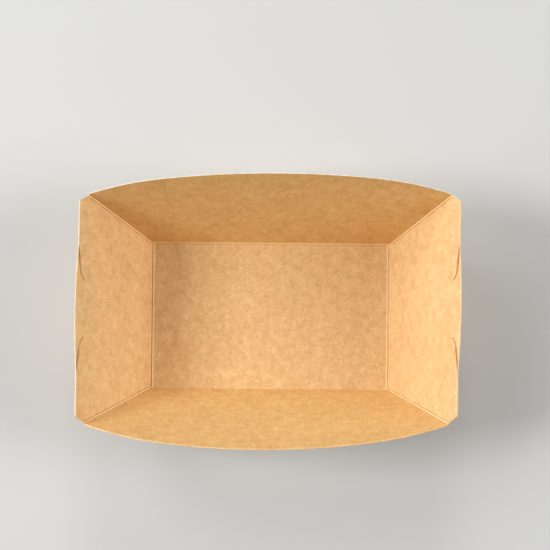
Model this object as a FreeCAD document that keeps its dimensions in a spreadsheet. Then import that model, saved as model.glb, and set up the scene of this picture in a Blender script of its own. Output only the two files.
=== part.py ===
import FreeCAD, Part
import os
import re
import Sketcher

# A tray folded from one sheet of board: a flat base, two long arched walls, two short end
# walls, and four corner webs folded flat against the outside of the end walls. X runs along
# the long walls, Z is up, and the origin is under the middle of the base.

SHEET_NAME = "Sizes"
NODE_NAME = "folded_tray"

# Differences, in millimetres and cubic millimetres, below which two measures are the same.
SAME_PLACE = 1e-4
SAME_VOLUME = 1e-6

# Driving sizes in millimetres, and one angle in degrees. A width, length or spacing is the
# full distance between the two sides that it names, measured on the inside faces.
DRIVING_SIZES = {
    "board": 0.4,
    "base_length": 110.0,
    "base_width": 68.0,
    "corner_height": 50.0,
    "corner_length": 156.0,
    "corner_width": 98.8,
    "apex_height": 62.0,
    "wall_bow": 5.0,
    "shoulder_spacing": 90.0,
    "shoulder_drop": 2.5,
    "end_rim_rise": 6.7,
    "end_rim_width": 92.0,
    "layer_gap": 0.1,
    "web_drop": 2.0,
    "web_start": 5.0,
    "lock_reach": 6.0,
    "lock_depth": 5.2,
    "lock_tip_width": 1.3,
    "slit_width": 0.3,
    "slit_mouth_spacing": 54.6,
    "slit_knee_spacing": 30.0,
    "slit_knee_depth": 2.4,
    "neck_width": 24.4,
    "hook_depth": 5.0,
    "tab_lean": 11.5,
    "corner_round": 0.5,
    "foot_round": 0.3,
    "trim_margin": 6.0,
}

# Sizes that follow from the driving ones, as formulas of the sheet.
WORKED_OUT_SIZES = {
    # how far each inside face runs out for one unit of height, and how long that slope is
    "end_run": "(corner_length - base_length) / 2 / (corner_height - board)",
    "long_run": "(corner_width - base_width) / 2 / (corner_height - board)",
    "end_flare": "atan(end_run)",
    "end_stretch": "sqrt(1 + end_run ^ 2)",
    "long_stretch": "sqrt(1 + long_run ^ 2)",
    "stack_thickness": "3 * board + 2 * layer_gap",
    # inside and outside halves of the tray at a level just above the arch
    "top_height": "apex_height + trim_margin",
    "top_inner_x": "base_length / 2 + end_run * (top_height - board)",
    "top_inner_y": "base_width / 2 + long_run * (top_height - board)",
    "top_outer_x": "top_inner_x + stack_thickness * end_stretch",
    "top_bow": "wall_bow * (top_height - board) / (apex_height - board)",
    "top_inner_radius": "(top_inner_x ^ 2 + top_bow ^ 2) / 2 / top_bow",
    "top_outer_radius": "top_inner_radius + board * long_stretch",
    "top_side_x": "top_outer_x - corner_round",
    "top_outer_bow": "top_outer_radius - sqrt(top_outer_radius ^ 2 - top_side_x ^ 2)",
    "top_outer_y": "top_inner_y + top_bow + board * long_stretch - top_outer_bow",
    # outside halves at the underside of the base and where its eased edge meets the walls
    "foot_outer_x": "base_length / 2 - end_run * (board - foot_round) + stack_thickness * end_stretch",
    "foot_outer_y": "base_width / 2 - long_run * (board - foot_round) + board * long_stretch",
    "sole_outer_x": "foot_outer_x - foot_round",
    "sole_outer_y": "foot_outer_y - foot_round",
    # the arch over a long wall: a flat arc in the middle and a tighter one on each side
    "arch_radius": "(shoulder_spacing ^ 2 / 4 + shoulder_drop ^ 2) / 2 / shoulder_drop",
    "shoulder_height": "apex_height - shoulder_drop",
    "side_length": "(corner_length - shoulder_spacing) / 2",
    "side_height": "shoulder_height - corner_height",
    "side_turn": "atan(side_height / side_length) - asin(shoulder_spacing / 2 / arch_radius)",
    "side_radius": "sqrt(side_length ^ 2 + side_height ^ 2) / 2 / sin(side_turn)",
    # distances up the slope of an end wall, from its inside fold line
    "corner_slant": "(corner_height - board) * end_stretch",
    "rim_slant": "corner_slant + end_rim_rise",
    "top_slant": "(top_height - board) * end_stretch + trim_margin",
    "hinge_slant": "rim_slant - hook_depth",
    "web_rim_slant": "rim_slant - web_drop",
    # the lean of the corner line in each wall, and of the web's own fold that halves the web
    "end_lean": "atan((corner_width - base_width) / 2 / corner_slant)",
    "long_slant": "(corner_height - board) * long_stretch",
    "long_lean": "atan((corner_length - base_length) / 2 / long_slant)",
    "corner_run": "tan(end_lean)",
    "web_fold_run": "tan((90 deg - end_lean - long_lean) / 2 - end_lean)",
    # the web's fold at the top of the tray and where the lock tab leaves it
    "top_fold_y": "base_width / 2 - web_fold_run * top_slant",
    "lock_foot_slant": "web_rim_slant - lock_depth",
    "lock_foot_y": "base_width / 2 - web_fold_run * lock_foot_slant",
    "lock_head_y": "base_width / 2 - web_fold_run * web_rim_slant",
    "top_corner_y": "base_width / 2 + corner_run * top_slant",
    "start_fold_y": "base_width / 2 - web_fold_run * web_start",
    "start_corner_y": "base_width / 2 + corner_run * web_start",
    # the hooked end of a slit, an arc that runs on from the straight part
    "hook_length": "(slit_knee_spacing - neck_width) / 2",
    "hook_drop": "hook_depth - slit_knee_depth",
    "mouth_length": "(slit_mouth_spacing - slit_knee_spacing) / 2",
    "hook_turn": "atan(hook_drop / hook_length) - atan(slit_knee_depth / mouth_length)",
    "hook_radius": "sqrt(hook_length ^ 2 + hook_drop ^ 2) / 2 / sin(hook_turn)",
}

KNOWN_NAMES = list(DRIVING_SIZES) + list(WORKED_OUT_SIZES)


def make_sheet(doc):
    """Write the driving sizes and the formulas into a spreadsheet."""
    sheet = doc.addObject("Spreadsheet::Sheet", SHEET_NAME)
    rows = [(name, str(value)) for name, value in DRIVING_SIZES.items()]
    rows += [(name, "=" + formula) for name, formula in WORKED_OUT_SIZES.items()]
    for row, (name, content) in enumerate(rows, start=1):
        sheet.set("A%d" % row, name)
        sheet.set("B%d" % row, content)
        sheet.setAlias("B%d" % row, name)
    doc.recompute()
    return sheet


def in_sheet(formula):
    """Return a formula with each size's name pointing into the spreadsheet."""
    known = r"\b(%s)\b" % "|".join(KNOWN_NAMES)
    return re.sub(known, SHEET_NAME + r".\1", formula)


def value_of(sheet, formula):
    """Return the number that a formula of the sizes comes to."""
    result = sheet.evalExpression(in_sheet(formula))
    return float(getattr(result, "Value", result))


def arc_between(start, end, radius, bulge):
    """Return the short arc between two places that bulges to the right or left of start to end.

    A negative radius bulges to the other side. The arc always runs anticlockwise, as a sketch's
    own arcs do.
    """
    if (bulge == "left") == (radius > 0):
        start, end = end, start
    radius = abs(radius)
    chord = end - start
    right = FreeCAD.Vector(chord.y, -chord.x, 0).normalize()
    rise = radius - (radius ** 2 - chord.Length ** 2 / 4) ** 0.5
    return Part.Arc(start, (start + end) / 2 + right * rise, end)


def tie_vertex(sheet, sketch, edge, vertex, point):
    """Tie one end of an edge to a place given as two formulas."""
    axes = (("DistanceX", -2), ("DistanceY", -1))
    for (kind, axis), formula in zip(axes, point):
        distance = value_of(sheet, formula)
        if formula == "0":
            sketch.addConstraint(Sketcher.Constraint("PointOnObject", edge, vertex, axis))
            continue
        added = sketch.addConstraint(Sketcher.Constraint(kind, -1, 1, edge, vertex, distance))
        sketch.setExpression("Constraints[%d]" % added, in_sheet(formula))


def draw_outline(sheet, sketch, corners, radii=None, bulge="right"):
    """Draw a closed outline of lines and arcs through corners given as formulas.

    radii holds the formula of the radius of each edge that is an arc, by the number of the
    corner that it starts from. bulge is the side, of the way the outline runs, to which the
    arcs stand out.
    """
    radii = radii or {}
    first = sketch.GeometryCount
    places = [FreeCAD.Vector(value_of(sheet, across), value_of(sheet, up), 0) for across, up in corners]
    nexts = places[1:] + places[:1]
    for index, (start, end) in enumerate(zip(places, nexts)):
        if index in radii:
            sketch.addGeometry(arc_between(start, end, value_of(sheet, radii[index]), bulge), False)
        else:
            sketch.addGeometry(Part.LineSegment(start, end), False)
    begins = []
    for index, place in enumerate(places):
        edge = sketch.Geometry[first + index]
        forward = edge.StartPoint.distanceToPoint(place) < edge.EndPoint.distanceToPoint(place)
        begins.append(1 if forward else 2)
    for index, begin in enumerate(begins):
        after = (index + 1) % len(corners)
        joined = Sketcher.Constraint("Coincident", first + index, 3 - begin, first + after, begins[after])
        sketch.addConstraint(joined)
        tie_vertex(sheet, sketch, first + index, begin, corners[index])
        if index in radii:
            size = "abs(%s)" % radii[index]
            radius = Sketcher.Constraint("Radius", first + index, value_of(sheet, size))
            added = sketch.addConstraint(radius)
            sketch.setExpression("Constraints[%d]" % added, in_sheet(size))


def origin_plane(body, role):
    """Return one of a body's own origin planes."""
    return next(feature for feature in body.Origin.OriginFeatures if feature.Role == role)


def flat_sketch(body, name, role, height="0"):
    """Add a sketch on an origin plane, or at a height above it."""
    sketch = body.newObject("Sketcher::SketchObject", name)
    sketch.AttachmentSupport = [(origin_plane(body, role), "")]
    sketch.MapMode = "FlatFace"
    sketch.setExpression("AttachmentOffset.Base.z", in_sheet(height))
    return sketch


def end_wall_sketch(body, name, depth, lean="end_flare", foot="0"):
    """Add a sketch that lies in the slope of the +X end wall.

    depth is how far out from the inside face it lies. It starts at the inside fold line, or
    at foot up the slope, from where it may lean further out than the wall.
    """
    sketch = body.newObject("Sketcher::SketchObject", name)
    sketch.AttachmentSupport = [(origin_plane(body, "YZ_Plane"), "")]
    sketch.MapMode = "FlatFace"
    turn = FreeCAD.Rotation(FreeCAD.Vector(1, 0, 0), 1)
    sketch.AttachmentOffset = FreeCAD.Placement(FreeCAD.Vector(0, 0, 0), turn)
    out = "base_length / 2 + (%s) * sin(end_flare) + (%s) * cos(end_flare)" % (foot, depth)
    up = "board + (%s) * cos(end_flare) - (%s) * sin(end_flare)" % (foot, depth)
    sketch.setExpression("AttachmentOffset.Base.y", in_sheet(up))
    sketch.setExpression("AttachmentOffset.Base.z", in_sheet(out))
    sketch.setExpression("AttachmentOffset.Rotation.Angle", in_sheet(lean))
    return sketch


def mirrored(corners):
    """Return the corners of an outline turned over to the other side, in the same order."""
    return [("-1 * (%s)" % across, up) for across, up in corners]


def loft(body, kind, name, sections):
    """Add a loft with straight sides through sketches."""
    feature = body.newObject(kind, name)
    feature.Profile = sections[0]
    feature.Sections = sections[1:]
    feature.Ruled = True


def cut(doc, body, name, sketch, depth, outwards=False, both_ways=False):
    """Cut a sketch's outline into the body and make sure that it takes material away."""
    volume = body.Shape.Volume
    pocket = body.newObject("PartDesign::Pocket", name)
    pocket.Profile = sketch
    pocket.Reversed = outwards
    pocket.Midplane = both_ways
    pocket.setExpression("Length", in_sheet(depth))
    doc.recompute()
    if body.Shape.Volume > volume - SAME_VOLUME:
        raise RuntimeError(name + " cuts nothing")
    return pocket


def pad(doc, body, name, sketch, thickness, both_ways=False):
    """Add board over a sketch's outline and make sure that it adds material."""
    volume = body.Shape.Volume
    feature = body.newObject("PartDesign::Pad", name)
    feature.Profile = sketch
    feature.Midplane = both_ways
    feature.setExpression("Length", in_sheet(thickness))
    doc.recompute()
    if body.Shape.Volume < volume + SAME_VOLUME:
        raise RuntimeError(name + " adds nothing")
    return feature


def make_shell(doc, body, sheet):
    """Make the base and the four flared walls, the long ones bowed outwards at the top."""
    rounds = {edge: "corner_round" for edge in (1, 3, 5, 7)}
    sole = flat_sketch(body, "outer_sole", "XY_Plane")
    draw_outline(sheet, sole, rounded_corners("sole_outer_x", "sole_outer_y"), rounds)
    foot = flat_sketch(body, "outer_foot", "XY_Plane", "foot_round")
    draw_outline(sheet, foot, rounded_corners("foot_outer_x", "foot_outer_y"), rounds)
    top = flat_sketch(body, "outer_top", "XY_Plane", "top_height")
    bowed = {0: "top_outer_radius", 4: "top_outer_radius"}
    draw_outline(sheet, top, rounded_corners("top_outer_x", "top_outer_y"), {**rounds, **bowed})
    loft(body, "PartDesign::AdditiveLoft", "outside", [sole, foot, top])
    floor = flat_sketch(body, "inner_floor", "XY_Plane", "board")
    draw_outline(sheet, floor, box_corners("base_length / 2", "base_width / 2"))
    mouth = flat_sketch(body, "inner_top", "XY_Plane", "top_height")
    bowed = {0: "top_inner_radius", 2: "top_inner_radius"}
    draw_outline(sheet, mouth, box_corners("top_inner_x", "top_inner_y"), bowed)
    loft(body, "PartDesign::SubtractiveLoft", "inside", [floor, mouth])
    doc.recompute()


def box_corners(half_x, half_y):
    """Return the corners of a centred rectangle, starting with the side that faces -Y."""
    left = "-1 * (%s)" % half_x
    front = "-1 * (%s)" % half_y
    return [(left, front), (half_x, front), (half_x, half_y), (left, half_y)]


def rounded_corners(half_x, half_y):
    """Return the ends of a centred rectangle's sides where its corners are rounded, in the same order."""
    side_x = "(%s - corner_round)" % half_x
    side_y = "(%s - corner_round)" % half_y
    front = [("-1 * " + side_x, "-1 * " + half_y), (side_x, "-1 * " + half_y)]
    right = [(half_x, "-1 * " + side_y), (half_x, side_y)]
    back = [(side_x, half_y), ("-1 * " + side_x, half_y)]
    left = [("-1 * " + half_x, side_y), ("-1 * " + half_x, "-1 * " + side_y)]
    return front + right + back + left


def ease_end_folds(doc, body, sheet):
    """Round the outer side of the two folds between the base and the end walls."""
    volume = body.Shape.Volume
    half_width = value_of(sheet, "base_width / 2")
    edges = []
    for number, edge in enumerate(body.Shape.Edges, start=1):
        on_floor = all(abs(vertex.Z) < SAME_PLACE for vertex in edge.Vertexes)
        if on_floor and edge.BoundBox.YLength > half_width:
            edges.append("Edge%d" % number)
    before = body.Tip
    fillet = body.newObject("PartDesign::Fillet", "eased_end_folds")
    fillet.Base = (before, edges)
    fillet.setExpression("Radius", in_sheet("foot_round"))
    doc.recompute()
    if body.Shape.Volume > volume - SAME_VOLUME:
        raise RuntimeError("the end folds are not rounded")


def cut_arches(doc, body, sheet):
    """Cut both long walls to their arched rims."""
    sketch = flat_sketch(body, "arch_outline", "XZ_Plane")
    above = "top_height + trim_margin"
    wide = "base_length / 2 + end_run * (top_height + trim_margin - board)"
    corners = [
        ("-1 * (%s)" % wide, above),
        ("-1 * corner_length / 2", "corner_height"),
        ("-1 * shoulder_spacing / 2", "shoulder_height"),
        ("shoulder_spacing / 2", "shoulder_height"),
        ("corner_length / 2", "corner_height"),
        (wide, above),
    ]
    radii = {1: "side_radius", 2: "arch_radius", 3: "side_radius"}
    draw_outline(sheet, sketch, corners, radii, "left")
    cut(doc, body, "arches", sketch, "2 * (top_outer_y + top_outer_bow + trim_margin)", both_ways=True)


def cut_end_rim(doc, body, sheet):
    """Cut the end wall and the web outside it to their rims, and clear the wall between webs."""
    far = "top_corner_y + trim_margin"
    through = "stack_thickness + trim_margin"
    for name, depth, rim in (("wall_rim", "0", "rim_slant"), ("web_rim", "board", "web_rim_slant")):
        sketch = end_wall_sketch(body, name + "_outline", depth)
        corners = [
            ("-1 * (%s)" % far, "corner_slant"),
            ("-1 * corner_width / 2", "corner_slant"),
            ("-1 * end_rim_width / 2", rim),
            ("end_rim_width / 2", rim),
            ("corner_width / 2", "corner_slant"),
            (far, "corner_slant"),
            (far, "top_slant"),
            ("-1 * (%s)" % far, "top_slant"),
        ]
        draw_outline(sheet, sketch, corners)
        yield cut(doc, body, name, sketch, through, outwards=True)
    sketch = end_wall_sketch(body, "between_webs_outline", "board")
    corners = [
        ("-1 * base_width / 2", "0"),
        ("-1 * base_width / 2", "-1 * trim_margin"),
        ("base_width / 2", "-1 * trim_margin"),
        ("base_width / 2", "0"),
        ("top_fold_y", "top_slant"),
        ("-1 * top_fold_y", "top_slant"),
    ]
    draw_outline(sheet, sketch, corners)
    yield cut(doc, body, "between_webs", sketch, through, outwards=True)


def cut_layer_gaps(doc, body, sheet):
    """Part the layers of the webs, leaving the fold that joins each one to the next."""
    inner_gap = [
        ("start_fold_y - board", "web_start"),
        ("start_corner_y - board", "web_start"),
        ("top_corner_y - board", "top_slant"),
        ("top_fold_y - board", "top_slant"),
    ]
    outer_gap = [
        ("start_fold_y + board", "web_start"),
        ("start_corner_y", "web_start"),
        ("top_corner_y", "top_slant"),
        ("top_fold_y + board", "top_slant"),
    ]
    for name, depth, corners in (
        ("wall_to_web_gap", "board", inner_gap),
        ("web_half_gap", "2 * board + layer_gap", outer_gap),
    ):
        sketch = end_wall_sketch(body, name + "_outline", depth)
        draw_outline(sheet, sketch, corners)
        draw_outline(sheet, sketch, mirrored(corners))
        yield cut(doc, body, name, sketch, "layer_gap", outwards=True)


def make_locks(doc, body, sheet):
    """Notch the outer half of each web and run its inner half on as a lock tab."""
    sketch = end_wall_sketch(body, "lock_notch_outline", "2 * board + layer_gap")
    notch = [
        ("lock_foot_y - trim_margin", "lock_foot_slant"),
        ("lock_foot_y", "lock_foot_slant"),
        ("lock_foot_y + lock_reach", "web_rim_slant - lock_tip_width"),
        ("lock_foot_y + lock_reach", "top_slant"),
        ("lock_foot_y - trim_margin", "top_slant"),
    ]
    draw_outline(sheet, sketch, notch)
    draw_outline(sheet, sketch, mirrored(notch))
    yield cut(doc, body, "lock_notch", sketch, "stack_thickness + trim_margin", outwards=True)
    sketch = end_wall_sketch(body, "lock_tab_outline", "board + layer_gap")
    tab = [
        ("lock_foot_y + board", "lock_foot_slant"),
        ("lock_head_y + board", "web_rim_slant"),
        ("lock_head_y - lock_reach", "web_rim_slant"),
        ("lock_head_y - lock_reach", "web_rim_slant - lock_tip_width"),
    ]
    draw_outline(sheet, sketch, tab)
    draw_outline(sheet, sketch, mirrored(tab))
    yield pad(doc, body, "lock_tab", sketch, "board")


def tab_side(margin):
    """Return one side of the T-shaped tab from its hinge line up to the rim, grown by a margin."""
    return [
        ("neck_width / 2 + %s" % margin, "0"),
        ("slit_knee_spacing / 2 + %s" % margin, "hook_drop - %s" % margin),
        ("slit_mouth_spacing / 2 + %s" % margin, "hook_depth"),
    ]


def draw_tab(sheet, sketch, side):
    """Draw the T-shaped tab from one side of it, with a hooked arc at both sides of its neck."""
    corners = side + mirrored(side)[::-1]
    hooks = {0: "hook_radius", len(corners) - 2: "hook_radius"}
    draw_outline(sheet, sketch, corners, hooks, "left")


def make_middle_tab(doc, body, sheet):
    """Part the T-shaped tab from the end wall by its two slits and lean it outwards."""
    sketch = end_wall_sketch(body, "tab_opening_outline", "0")
    side = [(across, "hinge_slant + " + up) for across, up in tab_side("slit_width")]
    side.append(("slit_mouth_spacing / 2 + slit_width", "top_slant"))
    draw_tab(sheet, sketch, side)
    yield cut(doc, body, "tab_opening", sketch, "board", outwards=True)
    lean = "end_flare + tab_lean * 1 deg"
    sketch = end_wall_sketch(body, "middle_tab_outline", "0", lean, "hinge_slant")
    draw_tab(sheet, sketch, tab_side("0"))
    yield pad(doc, body, "middle_tab", sketch, "board")


def draw_bead_pair(sheet, sketch, across):
    """Draw the round sections of two scored folds, the same distance to either side."""
    radius = value_of(sheet, "board")
    for place in (across, "-1 * (%s)" % across):
        centre = FreeCAD.Vector(value_of(sheet, place), radius, 0)
        edge = sketch.addGeometry(Part.Circle(centre, FreeCAD.Vector(0, 0, 1), radius), False)
        tie_vertex(sheet, sketch, edge, 3, (place, "board"))
        added = sketch.addConstraint(Sketcher.Constraint("Radius", edge, radius))
        sketch.setExpression("Constraints[%d]" % added, in_sheet("board"))


def make_beads(doc, body, sheet):
    """Raise the beads of the scored folds along the four sides of the base."""
    sketch = flat_sketch(body, "end_bead_section", "XZ_Plane")
    draw_bead_pair(sheet, sketch, "base_length / 2")
    pad(doc, body, "end_beads", sketch, "base_width", both_ways=True)
    sketch = flat_sketch(body, "long_bead_section", "YZ_Plane")
    draw_bead_pair(sheet, sketch, "base_width / 2")
    pad(doc, body, "long_beads", sketch, "base_length", both_ways=True)


def mirror_end(doc, body, features):
    """Repeat the features of the +X end at the other end."""
    volume = body.Shape.Volume
    mirror = body.newObject("PartDesign::Mirrored", "other_end")
    mirror.Originals = features
    mirror.MirrorPlane = (origin_plane(body, "YZ_Plane"), [""])
    body.Tip = mirror
    doc.recompute()
    if body.Shape.Volume > volume - SAME_VOLUME:
        raise RuntimeError("the other end is unchanged")


def check_document(doc, body):
    """Stop where a feature has failed or the tray isn't one sound solid."""
    for item in doc.Objects:
        if "Invalid" in item.State or "Error" in item.State:
            raise RuntimeError(item.Name + " has failed")
    shape = body.Shape
    if shape.isNull() or not shape.isValid() or len(shape.Solids) != 1:
        raise RuntimeError("the tray is not one sound solid")


def make_tray():
    """Build the tray and write its solid."""
    doc = FreeCAD.newDocument("tray")
    sheet = make_sheet(doc)
    body = doc.addObject("PartDesign::Body", NODE_NAME)
    body.Label = NODE_NAME
    body.Placement = FreeCAD.Placement()
    make_shell(doc, body, sheet)
    cut_arches(doc, body, sheet)
    end_features = list(cut_end_rim(doc, body, sheet))
    end_features += list(cut_layer_gaps(doc, body, sheet))
    end_features += list(make_locks(doc, body, sheet))
    end_features += list(make_middle_tab(doc, body, sheet))
    mirror_end(doc, body, end_features)
    make_beads(doc, body, sheet)
    ease_end_folds(doc, body, sheet)
    check_document(doc, body)
    os.makedirs("parts", exist_ok=True)
    body.Shape.exportStep("parts/%s.step" % body.Label)
    box = body.Shape.optimalBoundingBox()
    print("%.2f x %.2f x %.2f mm, %.0f mm3" % (box.XLength, box.YLength, box.ZLength, body.Shape.Volume))
    print("lowest point at %.3f" % box.ZMin)


make_tray()
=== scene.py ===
"""A food tray folded from one sheet of brown kraft board, on a plain pale floor."""

import logging
import math
from collections.abc import Callable
from dataclasses import dataclass
from enum import Enum
from functools import partial

import bpy
from mathutils import Color, Matrix, Vector, noise


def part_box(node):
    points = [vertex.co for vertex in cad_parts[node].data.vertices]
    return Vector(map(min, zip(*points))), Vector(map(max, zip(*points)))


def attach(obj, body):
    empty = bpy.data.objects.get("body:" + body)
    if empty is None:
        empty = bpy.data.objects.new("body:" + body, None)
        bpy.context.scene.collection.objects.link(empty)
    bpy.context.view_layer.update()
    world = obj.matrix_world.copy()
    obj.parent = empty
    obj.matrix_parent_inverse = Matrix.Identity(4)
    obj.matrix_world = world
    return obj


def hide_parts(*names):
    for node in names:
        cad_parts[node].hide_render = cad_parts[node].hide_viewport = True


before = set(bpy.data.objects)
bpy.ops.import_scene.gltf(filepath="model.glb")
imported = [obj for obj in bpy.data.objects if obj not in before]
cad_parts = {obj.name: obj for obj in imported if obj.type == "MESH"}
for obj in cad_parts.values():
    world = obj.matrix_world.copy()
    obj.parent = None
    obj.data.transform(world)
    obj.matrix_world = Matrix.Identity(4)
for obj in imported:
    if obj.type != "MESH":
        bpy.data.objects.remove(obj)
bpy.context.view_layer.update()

log = logging.getLogger("kraft_tray")

MM = 0.001
TRAY_NODE = "folded_tray"
BODY = "root"
FLAT_MAP = "flat_board"
PAINTED_SHADING_LAYER = "painted_light_and_shade"
RAISED_LAYER = "score_height"

# Sockets of the Mix node by number, since those for colours share their names with others.
MIX_SHARE = 0
MIX_FIRST = 6
MIX_SECOND = 7
MIX_COLOUR = 2

Tone = tuple[float, float, float]
Value = float | tuple[float, ...] | bpy.types.NodeSocket


class End(Enum):
    """The two short end walls of the tray."""

    LEFT = -1
    RIGHT = 1


class Side(Enum):
    """The two long walls of the tray."""

    NEAR = -1
    FAR = 1


@dataclass(frozen=True)
class Spot:
    """Where one crossing of a panel's grid goes.

    The point and the place on the flat sheet are in millimetres. Raised is how far a score lifts
    the inside face there, and painted_shading is the painted highlight (above nought) or painted
    shade (below nought) laid into the board's colour there.
    """

    point: Vector
    flat: tuple[float, float]
    raised: float = 0.0
    painted_shading: float = 0.0


def mix(start: float, end: float, share: float) -> float:
    """Return the number that lies a share of the way from start to end."""
    return start + (end - start) * share


def spaced(start: float, end: float, steps: int, crowding: float = 1.0) -> list[float]:
    """Return the numbers that lead up to end in a number of steps, without start itself.

    Args:
        start: the number that the steps set out from.
        end: the last number.
        steps: how many numbers there are.
        crowding: above one, the numbers crowd together near start.

    Returns:
        The numbers in order.
    """
    return [mix(start, end, (step / steps) ** crowding) for step in range(1, steps + 1)]


@dataclass(frozen=True)
class Score:
    """The pressed profile of a scored fold, as distances from the fold in millimetres.

    Distances below nought lie on the base's side of the fold, and the others on the wall's. The
    painted tones are laid into the board's colour: a painted highlight above nought and painted
    shade below nought.
    """

    distances: tuple[float, ...]
    heights: tuple[float, ...]
    painted_tones: tuple[float, ...]

    def read(self, levels: tuple[float, ...], distance: float) -> float:
        """Return a level of the profile at a distance from the fold.

        Args:
            levels: the profile's heights or its painted tones.
            distance: distance from the fold.

        Returns:
            The level, or nought beyond the ends of the profile.
        """
        pairs = list(zip(self.distances, levels))
        for (start, low), (end, high) in zip(pairs, pairs[1:]):
            if start <= distance <= end:
                return mix(low, high, (distance - start) / (end - start))
        return 0.0

    def height(self, distance: float) -> float:
        """Return how far the inside face is raised at a distance from the fold."""
        return self.read(self.heights, distance)

    def tone(self, distance: float) -> float:
        """Return the painted highlight (above nought) or painted shade (below nought) at a distance."""
        return self.read(self.painted_tones, distance)

    def weakened(self, share: float) -> "Score":
        """Return the same profile, pressed only a share as hard."""
        heights = tuple(height * share for height in self.heights)
        return Score(self.distances, heights, tuple(tone * share for tone in self.painted_tones))


# The fold of an end wall: a bead on the base's side of it with a painted highlight, and a groove
# on the wall's side with painted shade.
END_SCORE = Score(
    distances=(-1.1, -0.75, -0.5, -0.25, 0.0, 0.25, 0.5, 0.75, 1.1),
    heights=(0.0, 0.0, 0.14, 0.28, 0.24, 0.02, -0.12, -0.04, 0.0),
    painted_tones=(0.0, 0.1, 0.6, 0.95, 0.6, -0.6, -1.0, -0.2, 0.0),
)

# The far wall's fold, with its groove and painted shade on the base's side and its bead and
# painted highlight on the wall's, as the light falls from the far side.
FAR_SCORE = Score(
    distances=(-1.1, -0.75, -0.5, -0.25, 0.0, 0.25, 0.5, 0.75, 1.1),
    heights=(0.0, -0.03, -0.08, 0.02, 0.20, 0.28, 0.14, 0.0, 0.0),
    painted_tones=(0.0, -0.1, -0.42, -0.25, 0.5, 1.0, 0.9, 0.3, 0.0),
)

# The four folds of the base, each with its painted highlight and shade, of which the near wall's
# hardly shows.
FOLD_SCORES = {
    End.LEFT: END_SCORE,
    End.RIGHT: END_SCORE.weakened(0.8),
    Side.FAR: FAR_SCORE,
    Side.NEAR: END_SCORE.weakened(0.15),
}

# The sides of an end wall, by distance in from the nose where the sheet folds back on itself,
# with a painted highlight on the nose and painted shade in the groove beside it.
CORNER_SCORE = Score(
    distances=(0.0, 0.32, 0.48, 0.66, 0.84, 1.05, 1.5),
    heights=(0.06, 0.12, 0.02, -0.16, -0.02, 0.0, 0.0),
    painted_tones=(1.0, 0.9, -0.2, -1.0, -0.2, 0.0, 0.0),
)

# A strip of painted highlight along a cut rim, which widens its lit cut edge, by distance in
# from the cut.
RIM_SCORE = Score(distances=(0.0, 0.45), heights=(0.0, 0.0), painted_tones=(0.75, 0.0))


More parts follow.
